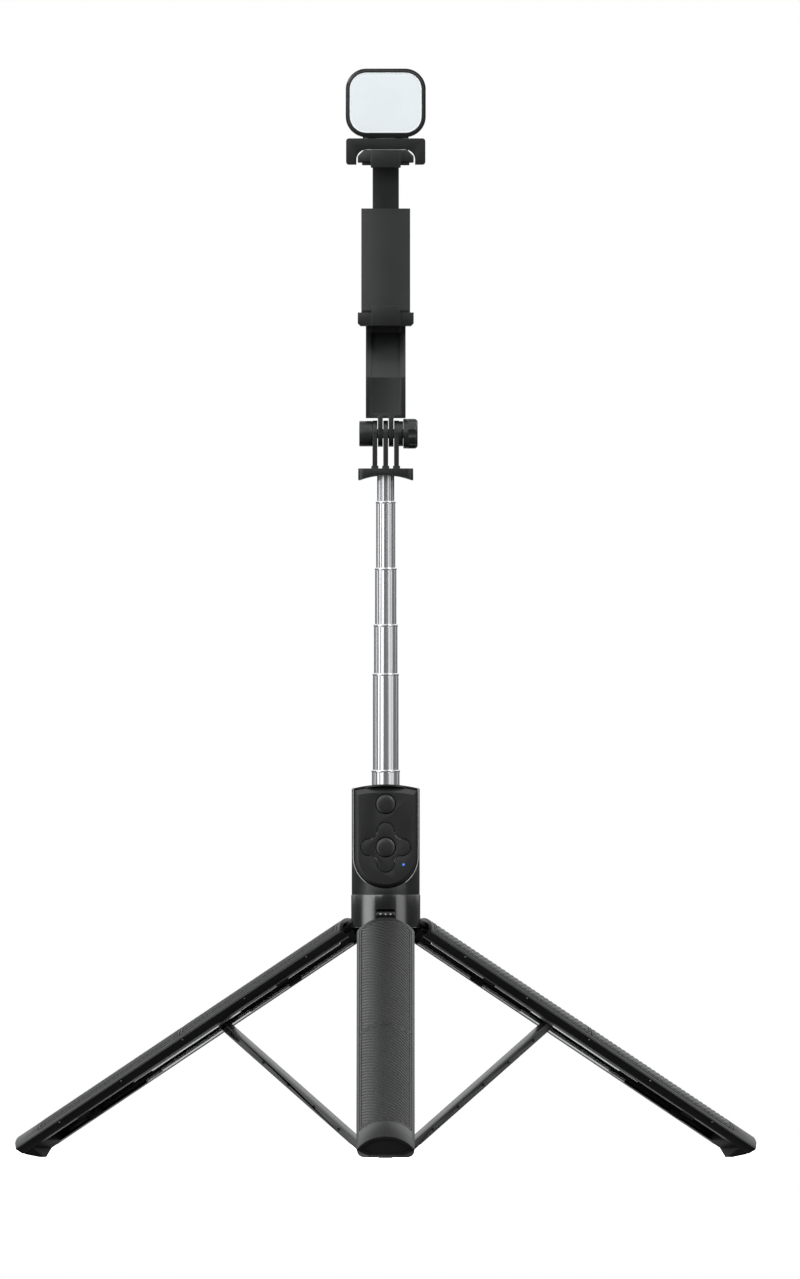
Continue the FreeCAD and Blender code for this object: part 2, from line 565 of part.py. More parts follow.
def holder_arm():
    """The channelled arm from the clevis up behind the clamp, stepping back on the way."""
    near, far = ARM_BACK_Y
    depth, groove = ARM_HALF_DEPTH, ARM_GROOVE_DEPTH
    bar = arm_slice(ARM_HALF, (-depth, near), (depth, far), ARM_Z)
    front = (groove - depth, near + groove)
    channel = arm_slice(ARM_GROOVE_HALF, (-REACH, near - OVER), front, ARM_GROOVE_Z)
    head = rod_y(ARM_HALF, ARM_BACK_Y, SWIVEL_Z)
    ears = [finger(step * FINGER_PITCH, ARM_Z[0] + OVER) for step in (-1, 1)]
    arm = joined([bar.cut(channel), head] + ears)
    arm = arm.cut(rod_y(SWIVEL_R, SWIVEL_Y, SWIVEL_Z))
    return arm.cut(rod_x(BOLT_R + FIT, even(REACH), 0.0, PIVOT_Z))


def swivel_screw():
    shaft = rod_y(SWIVEL_R, SWIVEL_Y, SWIVEL_Z)
    return joined([shaft, rod_y(SWIVEL_HEAD_R, SWIVEL_HEAD_Y, SWIVEL_Z)])


# --- phone clamp ----------------------------------------------------------------------

def jaw(inner_z, outer_z, chamfer, lip_half, lip_z):
    """A jaw shelf with bevelled outer corners and a lip in front that hooks over the phone."""
    corner_z = outer_z + math.copysign(chamfer, inner_z - outer_z)
    flat = JAW_HALF - chamfer
    outline = [(-JAW_HALF, inner_z), (JAW_HALF, inner_z), (JAW_HALF, corner_z),
               (flat, outer_z), (-flat, outer_z), (-JAW_HALF, corner_z)]
    depth = V(0, CLAMP_Y[1] - JAW_FRONT_Y, 0)
    shelf = prism([V(x, JAW_FRONT_Y, z) for x, z in outline], depth)
    neck = box(even(lip_half), (LIP_Y[0], 0.0), sorted((inner_z, outer_z)))
    return joined([shelf, box(even(lip_half), LIP_Y, lip_z), neck])


def clamp_body():
    """The clamp's back plate and fixed lower jaw, hollow for the sliding stem."""
    plate = box(even(PLATE_HALF), CLAMP_Y, PLATE_Z)
    lower = jaw(LOWER_JAW_Z[1], LOWER_JAW_Z[0], LOWER_JAW_CHAMFER, LOWER_LIP_HALF, LOWER_LIP_Z)
    boss = rod_y(BOSS_R, (CLAMP_Y[1] - OVER, BOSS_Y), SWIVEL_Z)
    body = joined([plate, lower, boss])
    channel = box(even(CHANNEL_X), CHANNEL_Y, (CHANNEL_FLOOR_Z, PLATE_Z[1] + OVER))
    body = body.cut(channel)
    return body.cut(rod_y(SWIVEL_R + FIT, (SWIVEL_Y[0] - FIT, REACH), SWIVEL_Z))


def clamp_slider():
    """The upper jaw and the stem that slides in the back plate."""
    upper = jaw(UPPER_JAW_Z[0], UPPER_JAW_Z[1], UPPER_JAW_CHAMFER, UPPER_LIP_HALF, UPPER_LIP_Z)
    stem = box(even(STEM_HALF), STEM_PLATE_Y, (STEM_FOOT_Z, UPPER_JAW_Z[1] - OVER))
    tabs = box(even(STEM_GUARD_HALF), STEM_PLATE_Y, TAB_Z)
    return joined([upper, stem, tabs])


def clamp_springs():
    """The two close-wound springs that draw the jaws together."""
    coil = rod_z(SPRING_R, SPRING_Z).cut(rod_z(SPRING_BORE, SPRING_Z))
    middle = (STEM_PLATE_Y[0] + STEM_PLATE_Y[1]) / 2
    return Part.makeCompound([coil.translated(V(side * SPRING_X, middle, 0)) for side in (-1, 1)])


def lower_pad():
    return box(even(PAD_HALF), PAD_Y, (LOWER_JAW_Z[1], LOWER_PAD_Z))


def upper_pad():
    return box(even(PAD_HALF), PAD_Y, (UPPER_PAD_Z, UPPER_JAW_Z[0]))


# --- fill light -----------------------------------------------------------------------

def light_block(grow, y):
    """The light's rounded square outline, grown by grow, between two depths."""
    block = box(even(LIGHT_HALF + grow), y, (LIGHT_Z[0] - grow, LIGHT_Z[1] + grow))
    return block.makeFillet(LIGHT_CORNER + grow, along(block, Y))


def hinge_knuckle(x):
    return rod_x(LIGHT_HINGE_R, x, LIGHT_HINGE_Y, LIGHT_HINGE_Z)


def light_bracket():
    """The saddle that drops over the upper jaw, with the light's hinge pin behind."""
    saddle = box(even(BRACKET_HALF), BRACKET_Y, BRACKET_Z)
    saddle = saddle.makeFillet(BRACKET_CORNER, along(saddle, Y))
    opening = box(even(BRACKET_GAP_HALF), even(REACH), (BRACKET_Z[0] - REACH, BRACKET_GAP_TOP))
    opening = opening.makeFillet(BRACKET_GAP_R, along(opening, Y))
    saddle = saddle.cut(opening)
    parts = [saddle]
    span_y = (LIGHT_HINGE_Y - LIGHT_HINGE_R, LIGHT_HINGE_Y + LIGHT_HINGE_R)
    for side in (-1, 1):
        x = sorted(side * edge for edge in OUTER_KNUCKLE_X)
        parts += [hinge_knuckle(x), box(x, span_y, (LIGHT_POST_Z, LIGHT_HINGE_Z))]
    parts.append(rod_x(LIGHT_HINGE_PIN_R, even(OUTER_KNUCKLE_X[0] + OVER), LIGHT_HINGE_Y, LIGHT_HINGE_Z))
    return joined(parts)


def light_shell():
    """The light's back housing and bezel, with its foot and hinge knuckle."""
    outer = light_block(0.0, LIGHT_Y)
    cavity = light_block(-LIGHT_BEZEL, (LIGHT_Y[0] - OVER, LIGHT_Y[1] - LIGHT_BACK))
    shell = outer.cut(cavity)
    foot = box(even(NECK_HALF), NECK_Y, NECK_Z).cut(cavity)
    knuckle = hinge_knuckle(KNUCKLE_X)
    web = box(KNUCKLE_X, (LIGHT_Y[1] - OVER, LIGHT_HINGE_Y), (LIGHT_HINGE_Z, LIGHT_HINGE_Z + LIGHT_HINGE_R))
    shell = joined([shell, foot, knuckle, web])
    shell = shell.cut(rod_x(LIGHT_HINGE_PIN_R + FIT, even(REACH), LIGHT_HINGE_Y, LIGHT_HINGE_Z))
    hole_y = (LIGHT_Y[1] - LIGHT_BACK - OVER, REACH)
    return shell.cut(rod_y(LIGHT_BUTTON_R + LIGHT_GAP * 2, hole_y, LIGHT_BUTTON_Z))


def light_diffuser():
    return light_block(-LIGHT_BEZEL - LIGHT_GAP, (LIGHT_Y[0] - 0.4, LIGHT_Y[0] - 0.4 + DIFFUSER_THICK))


def led_board():
    return light_block(-LIGHT_BEZEL - 2 * LIGHT_GAP, LED_Y)


def light_button():
    cap = rod_y(LIGHT_BUTTON_R, LIGHT_BUTTON_Y, LIGHT_BUTTON_Z)
    return cap.makeFillet(LIGHT_BUTTON_ROUND, ends(cap, "y", LIGHT_BUTTON_Y[1]))


# --- the whole stick ------------------------------------------------------------------

def leg_pieces():
    """Every leg's pieces, by node name."""
    closed = {"shell": leg_shell(), "grip_pads": grip_pads(), "frame": leg_frame(),
              "rail": leg_rail(), "foot": leg_foot(), "strut_pin": strut_pin()}
    pieces = {}
    for side, turn in LEG_TURNS.items():
        for name, shape in closed.items():
            pieces["%s_leg_%s" % (side, name)] = open_leg(shape, turn)
        eye = HUB_PIN_RADIUS + FIT if side == "front" else FREE_EYE_R
        pieces["%s_strut" % side] = strut(turn, eye)
    return pieces


def mast_pieces():
    """The six tubes, numbered from the outermost, and the glides of the moving five."""
    pieces = {}
    for index in range(len(TUBE_OD)):
        pieces["tube_%d" % (index + 1)] = tube(index)
        if index:
            pieces["glide_%d" % (index + 1)] = glide(index)
    return pieces


def all_pieces():
    pieces = leg_pieces()
    pieces.update(mast_pieces())
    makers = (hub, hub_pins, hinge_pins, collar, leg_yoke, handle_body,
              remote_front, remote_back, remote_board, dpad, dpad_gimbal,
              head_bracket, head_nut, thumb_knob, holder_arm, swivel_screw,
              clamp_body, clamp_slider, clamp_springs, lower_pad, upper_pad,
              light_bracket, light_shell, light_diffuser, led_board, light_button)
    for maker in makers:
        pieces[maker.__name__] = maker()
    pieces["shutter_button"] = button(SHUTTER_Z)
    pieces["ok_button"] = button(DPAD_Z)
    return pieces


os.makedirs("parts", exist_ok=True)
for node, shape in all_pieces().items():
    if not shape.isValid():
        print("not valid:", node)
    shape.exportStep("parts/%s.step" % node)
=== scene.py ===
import json
import math

import bmesh
import bpy
from mathutils import Matrix, Vector


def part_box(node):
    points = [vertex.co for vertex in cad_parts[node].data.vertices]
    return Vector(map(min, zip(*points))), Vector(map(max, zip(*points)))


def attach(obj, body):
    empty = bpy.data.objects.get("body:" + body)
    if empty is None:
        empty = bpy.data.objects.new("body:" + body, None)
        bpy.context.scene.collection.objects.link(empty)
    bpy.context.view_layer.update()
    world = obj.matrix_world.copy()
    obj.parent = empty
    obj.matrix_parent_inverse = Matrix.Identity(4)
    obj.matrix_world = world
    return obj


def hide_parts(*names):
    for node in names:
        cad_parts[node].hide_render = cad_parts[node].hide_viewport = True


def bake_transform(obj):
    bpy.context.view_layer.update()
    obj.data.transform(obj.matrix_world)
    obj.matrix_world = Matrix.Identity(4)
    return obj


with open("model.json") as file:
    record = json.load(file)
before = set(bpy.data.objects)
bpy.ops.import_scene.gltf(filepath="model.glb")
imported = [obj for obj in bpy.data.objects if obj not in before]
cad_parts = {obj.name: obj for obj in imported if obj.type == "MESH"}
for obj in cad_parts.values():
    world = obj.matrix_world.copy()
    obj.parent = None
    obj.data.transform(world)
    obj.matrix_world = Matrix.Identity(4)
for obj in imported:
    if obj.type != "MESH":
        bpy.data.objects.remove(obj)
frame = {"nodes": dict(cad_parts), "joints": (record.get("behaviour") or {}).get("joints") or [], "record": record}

# A tripod selfie stick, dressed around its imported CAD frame. Metres; +Z up, -Y towards the user.
# Sizes below are in millimetres, as the object is dimensioned, and MM turns them into metres.

MM = 0.001
WELD, FLAT_ANGLE = 2e-6, 0.5
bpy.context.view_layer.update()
JOINTS = {joint["name"]: joint for joint in frame["joints"]}
SLOT_OF = {part["node"]: part["material_slot"] for part in frame["record"]["subparts"]}
BODY_OF = {node: body for body, nodes in frame["record"]["behaviour"]["bodies"].items() for node in nodes}
SIDES = {"front": ("legs_fold", 0.0), "left": ("left_leg_fold", -120.0), "right": ("right_leg_fold", 120.0)}


def join_place(name):
    """A joint's centre at rest, in millimetres."""
    return Vector(JOINTS[name]["pos_m"]) / MM


# --- camera, light and floor ------------------------------------------------------------

VIEW_CENTRE = Vector((7.6, 0.0, 275.5)) * MM
VIEW_HEIGHT = 680.4 * MM
VIEW_RISE = math.radians(-0.75)
LENS, SENSOR = 1000.0, 36.0


def add_camera():
    """A long lens straight in front of the stick, as in a catalogue picture."""
    data = bpy.data.cameras.new("camera")
    data.lens, data.sensor_width = LENS, SENSOR
    distance = VIEW_HEIGHT * LENS / SENSOR
    data.clip_start, data.clip_end = 0.1, distance * 3
    camera = bpy.data.objects.new("camera", data)
    back = Vector((0.0, -math.cos(VIEW_RISE), math.sin(VIEW_RISE)))
    camera.location = VIEW_CENTRE + back * distance
    camera.rotation_mode = "QUATERNION"
    camera.rotation_quaternion = (-back).to_track_quat("-Z", "Y")
    bpy.context.scene.collection.objects.link(camera)
    bpy.context.scene.camera = camera


def add_softbox(name, place, target, size, power):
    """A square or oblong area lamp aimed at a point, unseen by the camera."""
    data = bpy.data.lights.new(name, "AREA")
    data.shape = "RECTANGLE"
    data.size, data.size_y = size
    data.energy = power
    lamp = bpy.data.objects.new(name, data)
    lamp.location = Vector(place)
    lamp.rotation_mode = "QUATERNION"
    lamp.rotation_quaternion = (Vector(target) - Vector(place)).to_track_quat("-Z", "Y")
    lamp.visible_camera = False
    bpy.context.scene.collection.objects.link(lamp)


def add_lights():
    """Two soft keys for shape; most of the light comes from the room around."""
    middle = (0.0, 0.0, 0.28)
    add_softbox("top_box", (0.0, -0.3, 2.2), middle, (2.0, 1.6), 9.0)
    add_softbox("front_left_box", (-1.2, -2.2, 1.5), middle, (1.6, 1.6), 20.0)


# The room as soft glows: direction, tallness, widest and narrowest half-angle, brightness.
GLOWS = {
    "left_wall": ((-0.88, -0.47, 0.0), 0.30, 28.0, 4.0, 2.6),
    "right_wall": ((0.78, -0.62, 0.0), 0.30, 24.0, 3.0, 1.4),
    "ceiling": ((0.0, -0.55, 0.83), 1.0, 45.0, 12.0, 0.9),
    "left_slope": ((-0.84, 0.2, 0.5), 2.0, 38.0, 8.0, 1.0),
    "right_slope": ((0.84, 0.2, 0.5), 2.0, 38.0, 8.0, 1.0),
    "left_back": ((-0.55, 0.75, 0.42), 2.0, 38.0, 8.0, 1.5),
    "right_back": ((0.55, 0.75, 0.42), 2.0, 38.0, 8.0, 1.5),
    "spark": ((0.54, -0.62, 0.56), 1.0, 15.0, 5.0, 9.0),
    "low_back": ((0.0, 0.9, -0.43), 1.0, 32.0, 12.0, 0.8),
}
ROOM_LEVEL = 0.085


def add_world():
    """White behind the object, and a dim room with soft glows in its reflections."""
    world = bpy.data.worlds.new("studio")
    bpy.context.scene.world = world
    world.use_nodes = True
    nodes, links = world.node_tree.nodes, world.node_tree.links
    nodes.clear()
    towards = nodes.new("ShaderNodeTexCoord").outputs["Generated"]
    level = nodes.new("ShaderNodeValue").outputs[0]
    level.default_value = ROOM_LEVEL

    def vector_math(operation, first, second=None):
        node = nodes.new("ShaderNodeVectorMath")
        node.operation = operation
        links.new(first, node.inputs[0])
        if second is not None:
            node.inputs[1].default_value = second
        return node.outputs["Value" if operation == "DOT_PRODUCT" else "Vector"]

    for axis, tallness, widest, narrowest, brightness in GLOWS.values():
        squash = (1.0, 1.0, tallness)
        aim = Vector(axis)
        aim.z *= tallness
        flat = vector_math("NORMALIZE", vector_math("MULTIPLY", towards, squash))
        closeness = vector_math("DOT_PRODUCT", flat, aim.normalized())
        fade = nodes.new("ShaderNodeMapRange")
        fade.interpolation_type = "SMOOTHSTEP"
        fade.inputs["From Min"].default_value = math.cos(math.radians(widest))
        fade.inputs["From Max"].default_value = math.cos(math.radians(narrowest))
        fade.inputs["To Max"].default_value = brightness
        links.new(closeness, fade.inputs["Value"])
        total = nodes.new("ShaderNodeMath")
        links.new(level, total.inputs[0])
        links.new(fade.outputs["Result"], total.inputs[1])
        level = total.outputs[0]
    out = nodes.new("ShaderNodeOutputWorld")
    mix = nodes.new("ShaderNodeMixShader")
    seen, felt = nodes.new("ShaderNodeBackground"), nodes.new("ShaderNodeBackground")
    seen.inputs["Color"].default_value = (1.0, 1.0, 1.0, 1.0)
    felt.inputs["Color"].default_value = (0.98, 0.99, 1.0, 1.0)
    links.new(level, felt.inputs["Strength"])
    links.new(nodes.new("ShaderNodeLightPath").outputs["Is Camera Ray"], mix.inputs["Fac"])
    links.new(felt.outputs["Background"], mix.inputs[1])
    links.new(seen.outputs["Background"], mix.inputs[2])
    links.new(mix.outputs["Shader"], out.inputs["Surface"])


FLOOR_HALF, FLOOR_DROP = 6.0, 0.00005
FLOOR_DARKER, FLOOR_LIGHTER = (0.93, 0.93, 0.935, 1.0), (0.96, 0.96, 0.96, 1.0)
FLOOR_MOTTLE, FLOOR_ROUGHNESS, FLOOR_LIFT = 6.0, 0.9, 0.9


def add_floor():
    """A plain pale floor that the feet stand on."""
    half = FLOOR_HALF
    mesh = bpy.data.meshes.new("floor")
    corners = [(-half, -half, 0.0), (half, -half, 0.0), (half, half, 0.0), (-half, half, 0.0)]
    mesh.from_pydata(corners, [], [(0, 1, 2, 3)])
    floor = bpy.data.objects.new("floor", mesh)
    bpy.context.scene.collection.objects.link(floor)
    floor.location.z = -FLOOR_DROP
    paint = bpy.data.materials.new("floor_paint")
    paint.use_nodes = True
    nodes, links = paint.node_tree.nodes, paint.node_tree.links
    shader = nodes["Principled BSDF"]
    grain = nodes.new("ShaderNodeTexNoise")
    grain.inputs["Scale"].default_value = FLOOR_MOTTLE
    ramp = nodes.new("ShaderNodeValToRGB")
    ramp.color_ramp.elements[0].color = FLOOR_DARKER
    ramp.color_ramp.elements[1].color = FLOOR_LIGHTER
    links.new(grain.outputs["Fac"], ramp.inputs["Fac"])
    links.new(ramp.outputs["Color"], shader.inputs["Base Color"])
    shader.inputs["Roughness"].default_value = FLOOR_ROUGHNESS
    shader.inputs["Emission Color"].default_value = (1.0, 1.0, 1.0, 1.0)
    shader.inputs["Emission Strength"].default_value = FLOOR_LIFT
    mesh.materials.append(paint)
    floor.visible_glossy = False
    floor.visible_diffuse = False


# --- materials ----------------------------------------------------------------------------

MATERIALS = {}
MOTTLE_SCALE, GLOSS_SCALE = 60.0, 140.0
COAT_ROUGHNESS, BUMP_DEPTH = 0.1, 0.03 * MM


def moulded(name, colour, spread, rough, rough_spread, grain, bump, metallic=0.0, coat=0.0,
            specular=0.5, stretch=(1.0, 1.0, 1.0)):
    """A surface with mottled colour, uneven gloss and a fine grain, from object-space noise."""
    paint = bpy.data.materials.new(name)
    paint.use_nodes = True
    nodes, links = paint.node_tree.nodes, paint.node_tree.links
    shader = nodes["Principled BSDF"]
    place = nodes.new("ShaderNodeTexCoord")
    scaled = nodes.new("ShaderNodeMapping")
    scaled.inputs["Scale"].default_value = stretch
    links.new(place.outputs["Object"], scaled.inputs["Vector"])

    def noise(scale, detail):
        node = nodes.new("ShaderNodeTexNoise")
        node.inputs["Scale"].default_value = scale
        node.inputs["Detail"].default_value = detail
        links.new(scaled.outputs["Vector"], node.inputs["Vector"])
        return node

    mottle, sheen_noise, fine = noise(MOTTLE_SCALE, 3.0), noise(GLOSS_SCALE, 4.0), noise(grain, 6.0)
    ramp = nodes.new("ShaderNodeValToRGB")
    low = [channel * (1.0 - spread) for channel in colour]
    high = [min(1.0, channel * (1.0 + spread)) for channel in colour]
    ramp.color_ramp.elements[0].position, ramp.color_ramp.elements[1].position = 0.3, 0.7
    ramp.color_ramp.elements[0].color = (*low, 1.0)
    ramp.color_ramp.elements[1].color = (*high, 1.0)
    links.new(mottle.outputs["Fac"], ramp.inputs["Fac"])
    links.new(ramp.outputs["Color"], shader.inputs["Base Color"])
    gloss = nodes.new("ShaderNodeMapRange")
    gloss.inputs["To Min"].default_value = max(0.02, rough - rough_spread)
    gloss.inputs["To Max"].default_value = min(1.0, rough + rough_spread)
    links.new(sheen_noise.outputs["Fac"], gloss.inputs["Value"])
    links.new(gloss.outputs["Result"], shader.inputs["Roughness"])
    relief = nodes.new("ShaderNodeBump")
    relief.inputs["Strength"].default_value = bump
    relief.inputs["Distance"].default_value = BUMP_DEPTH
    links.new(fine.outputs["Fac"], relief.inputs["Height"])
    links.new(relief.outputs["Normal"], shader.inputs["Normal"])
    shader.inputs["Metallic"].default_value = metallic
    shader.inputs["Coat Weight"].default_value = coat
    shader.inputs["Coat Roughness"].default_value = COAT_ROUGHNESS
    shader.inputs["Specular IOR Level"].default_value = specular
    MATERIALS[name] = paint
    return paint


def glow(paint, colour, strength):
    """Makes a material shine faintly by itself."""
    shader = paint.node_tree.nodes["Principled BSDF"]
    shader.inputs["Emission Color"].default_value = (*colour, 1.0)
    shader.inputs["Emission Strength"].default_value = strength


def make_materials():
    moulded("matte_black", (0.0115, 0.012, 0.0123), 0.15, 0.40, 0.04, 2600.0, 0.25, specular=0.42)
    moulded("shell_black", (0.010, 0.010, 0.0104), 0.15, 0.42, 0.04, 2600.0, 0.2, specular=0.25)
    moulded("gloss_black", (0.006, 0.006, 0.0065), 0.10, 0.24, 0.02, 1500.0, 0.03, coat=1.0, specular=0.9)
    moulded("dark_grey", (0.015, 0.015, 0.0157), 0.10, 0.38, 0.04, 3200.0, 0.3, specular=0.45)
    moulded("grip_rubber", (0.0075, 0.0075, 0.0078), 0.12, 0.44, 0.05, 2600.0, 0.12, specular=0.36)
    moulded("foot_rubber", (0.008, 0.008, 0.008), 0.20, 0.60, 0.06, 2200.0, 0.5, specular=0.25)
    moulded("black_metal", (0.010, 0.010, 0.0105), 0.15, 0.36, 0.05, 1800.0, 0.08, specular=0.5)
    moulded("bright_steel", (0.52, 0.52, 0.53), 0.03, 0.18, 0.01, 2500.0, 0.03, metallic=0.75,
            stretch=(1.0, 1.0, 0.04))
    moulded("brushed_steel", (0.70, 0.70, 0.71), 0.08, 0.30, 0.05, 3000.0, 0.15, metallic=0.85,
            stretch=(1.0, 0.1, 1.0))
    moulded("white_plastic", (0.80, 0.80, 0.78), 0.04, 0.45, 0.05, 2600.0, 0.3)
    window = moulded("diffuser", (0.69, 0.73, 0.75), 0.02, 0.35, 0.04, 3000.0, 0.1, coat=0.2)
    glow(window, (0.93, 0.97, 1.0), 0.04)
    # Lighter grey bead round the cradle's rim: a painted highlight.
    moulded("rim_highlight_bead", (0.40, 0.40, 0.405), 0.08, 0.30, 0.02, 2000.0, 0.03, metallic=0.4)
    moulded("window_edge", (0.85, 0.87, 0.88), 0.02, 0.30, 0.02, 2000.0, 0.03)
    moulded("circuit", (0.02, 0.12, 0.05), 0.20, 0.30, 0.05, 1500.0, 0.2)
    led = moulded("blue_led", (0.05, 0.25, 0.9), 0.10, 0.25, 0.05, 1500.0, 0.1)
    glow(led, (0.03, 0.16, 1.0), 0.5)


# --- mesh helpers ---------------------------------------------------------------------------

def show(name, mesh, body, slot, replaces=(), paint=None):
    """Puts a finished mesh in the scene as a piece of the given body."""
    piece = bpy.data.objects.new(name, mesh)
    bpy.context.scene.collection.objects.link(piece)
    mesh.materials.clear()
    mesh.materials.append(MATERIALS[paint or slot])
    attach(piece, body)
    if replaces:
        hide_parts(*replaces)
    return piece


def finish_mesh(bm, name, sharp=32.0):
    """Outward normals, smooth shading, and crease marks on edges sharper than the angle."""
    bmesh.ops.recalc_face_normals(bm, faces=bm.faces)
    for face in bm.faces:
        face.smooth = True
    limit = math.radians(sharp)
    for edge in bm.edges:
        edge.smooth = not (len(edge.link_faces) == 2 and edge.calc_face_angle(0.0) > limit)
    mesh = bpy.data.meshes.new(name)
    bm.to_mesh(mesh)
    bm.free()
    return mesh


BEVEL_ANGLE = 30.0


def bevelled(mesh, width, segments):
    """The mesh with its sharp edges rounded."""
    holder = bpy.data.objects.new("rounding", mesh)
    bpy.context.scene.collection.objects.link(holder)
    bevel = holder.modifiers.new("bevel", "BEVEL")
    bevel.width, bevel.segments = width * MM, segments
    bevel.limit_method, bevel.angle_limit = "ANGLE", math.radians(BEVEL_ANGLE)
    bevel.miter_outer = "MITER_ARC"
    graph = bpy.context.evaluated_depsgraph_get()
    result = bpy.data.meshes.new_from_object(holder.evaluated_get(graph))
    bpy.data.objects.remove(holder)
    return result


def refined(node, width, segments=2, paint=None):
    """A CAD node's shape with whole flat faces and softly rounded edges, in its place."""
    bm = bmesh.new()
    bm.from_mesh(frame["nodes"][node].data)
    bmesh.ops.remove_doubles(bm, verts=bm.verts, dist=WELD)
    bmesh.ops.dissolve_limit(bm, angle_limit=math.radians(FLAT_ANGLE), verts=bm.verts, edges=bm.edges)
    plain = bpy.data.meshes.new(node)
    bm.to_mesh(plain)
    bm.free()
    bm = bmesh.new()
    bm.from_mesh(bevelled(plain, width, segments))
    mesh = finish_mesh(bm, node + "_skin")
    return show(node + "_skin", mesh, BODY_OF[node], SLOT_OF[node], [node], paint)


def lofted(loops, ring=False):
    """A skin through loops of equally many points, capped at both ends or closed into a ring."""
    bm = bmesh.new()
    rows = [[bm.verts.new(point) for point in loop] for loop in loops]
    count = len(rows[0])
    pairs = list(zip(rows, rows[1:] + rows[:1] if ring else rows[1:]))
    for low, high in pairs[:len(rows) if ring else len(rows) - 1]:
        for i in range(count):
            j = (i + 1) % count
            bm.faces.new((low[i], low[j], high[j], high[i]))
    if not ring:
        bm.faces.new(rows[0])
        bm.faces.new(rows[-1])
    return bm


def revolved(profile, segments, place, ripple=None):
    """Rings from (radius, height, ripple share) points about an axis; place maps them to space."""
    loops = []
    for radius, height, share in profile:
        loop = []
        for step in range(segments):
            angle = 2 * math.pi * step / segments
            depth = share * ripple(angle) if ripple else 0.0
            reach = radius - depth
            loop.append(place(reach * math.cos(angle), reach * math.sin(angle), height))
        loops.append(loop)
    return loops


def up_axis(a, b, height):
    """Maps a revolved profile to the mast axis."""
    return Vector((a, b, height)) * MM


def rounded_rect(half_x, half_z, radius, steps=10):
    """(x, z) points round a rectangle with round corners, about its own centre."""
    points = []
    for corner, (sx, sz) in enumerate(((1, 1), (-1, 1), (-1, -1), (1, -1))):
        for step in range(steps + 1):
            angle = math.pi / 2 * (corner + step / steps)
            points.append((sx * (half_x - radius) + radius * math.cos(angle),
                           sz * (half_z - radius) + radius * math.sin(angle)))
    return points


# --- mast -----------------------------------------------------------------------------------

TUBE_COUNT = 6
TUBE_WALL = 0.35
TUBE_SEGMENTS = 192
FLUTES, FLUTE_DEPTH = 16, 0.17
LIP_TALL, LIP_PROUD = 1.35, 0.06


def flute(angle):
    """How deep the tube wall's shallow flutes are at an angle round it."""
    return FLUTE_DEPTH * (0.5 - 0.5 * math.cos(FLUTES * angle + math.pi))


def add_tube(number):
    """One mast tube: fluted wall, with a rolled lip where the next tube leaves it."""
    node = "tube_%d" % number
    low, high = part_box(node)
    radius, bottom, top = high.x / MM, low.z / MM, high.z / MM
    inner = radius - TUBE_WALL
    if number < TUBE_COUNT:
        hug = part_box("tube_%d" % (number + 1))[1].x / MM + 0.05
        lip = radius + LIP_PROUD
        profile = [(inner, bottom, 0.0), (radius, bottom, 1.0), (radius, top - LIP_TALL - 0.4, 1.0),
                   (radius - 0.10, top - LIP_TALL - 0.1, 0.3), (lip - 0.08, top - LIP_TALL, 0.0),
                   (lip, top - LIP_TALL + 0.25, 0.0), (lip, top - 0.7, 0.0), (lip - 0.06, top - 0.3, 0.0),
                   (lip - 0.2, top - 0.06, 0.0), (hug + 0.1, top, 0.5), (hug, top - 0.1, 1.0),
                   (hug, top - LIP_TALL, 1.0), (inner, top - LIP_TALL - 0.2, 0.0)]
    else:
        profile = [(inner, bottom, 0.0), (radius, bottom, 1.0), (radius, top, 1.0), (inner, top, 0.0)]
    loops = revolved(profile, TUBE_SEGMENTS, up_axis, flute)
    bm = lofted(loops, ring=True)
    show(node + "_steel", finish_mesh(bm, node, 40.0), BODY_OF[node], SLOT_OF[node], [node])


# --- legs -----------------------------------------------------------------------------------

LEG_OPEN = 60.0
PAD_SPANS = ((10.1, 121.6), (121.8, 222.9))
PAD_HALF_ANGLE = 50.4
PAD_BASE_R, PAD_TOP_R = 17.5, 18.1
RIB_PITCH, RIB_SLOPE, RIB_DEPTH, RIB_FULLNESS = 3.06, 0.76, 0.54, 0.8
PAD_RIM, PAD_GROOVE, PAD_ROLL, PAD_ROLL_SLOPE = 1.5, 0.35, 0.4, 1.3
PAD_RIM_DROP, PAD_STEP, PAD_COLUMNS = 0.06, 0.34, 84


def leg_matrix(side):
    """From the closed front leg's place to the open leg's place on the given side."""
    hinge = join_place("legs_fold") * MM
    swing = Matrix.Translation(hinge) @ Matrix.Rotation(math.radians(-LEG_OPEN), 4, "X")
    return Matrix.Rotation(math.radians(SIDES[side][1]), 4, "Z") @ swing @ Matrix.Translation(-hinge)


def leg_point(t, h, s):
    """A point across, out from and down the closed front leg."""
    return Vector((t, -h, join_place("legs_fold").z - s)) * MM


def rib_height(s, arc):
    """The pad's outer radius at a place down the leg and along the arc across it."""
    wave = (s - RIB_SLOPE * arc) / RIB_PITCH
    phase = wave - math.floor(wave)
    crest = math.sin(math.pi * phase) ** RIB_FULLNESS
    return PAD_TOP_R - RIB_DEPTH * (1.0 - crest)


def pad_radius(s, angle, first, last):
    """The pad's outer radius: ribs inside a groove inside a smooth rim that rolls off at its edge."""
    half = math.radians(PAD_HALF_ANGLE)
    edge = min(s - first, last - s, (half - abs(angle)) * PAD_TOP_R)
    if edge < PAD_RIM:
        return PAD_TOP_R - PAD_RIM_DROP - max(0.0, PAD_ROLL - edge) * PAD_ROLL_SLOPE
    if edge < PAD_RIM + PAD_GROOVE:
        return PAD_TOP_R - RIB_DEPTH
    return rib_height(s, angle * PAD_TOP_R)


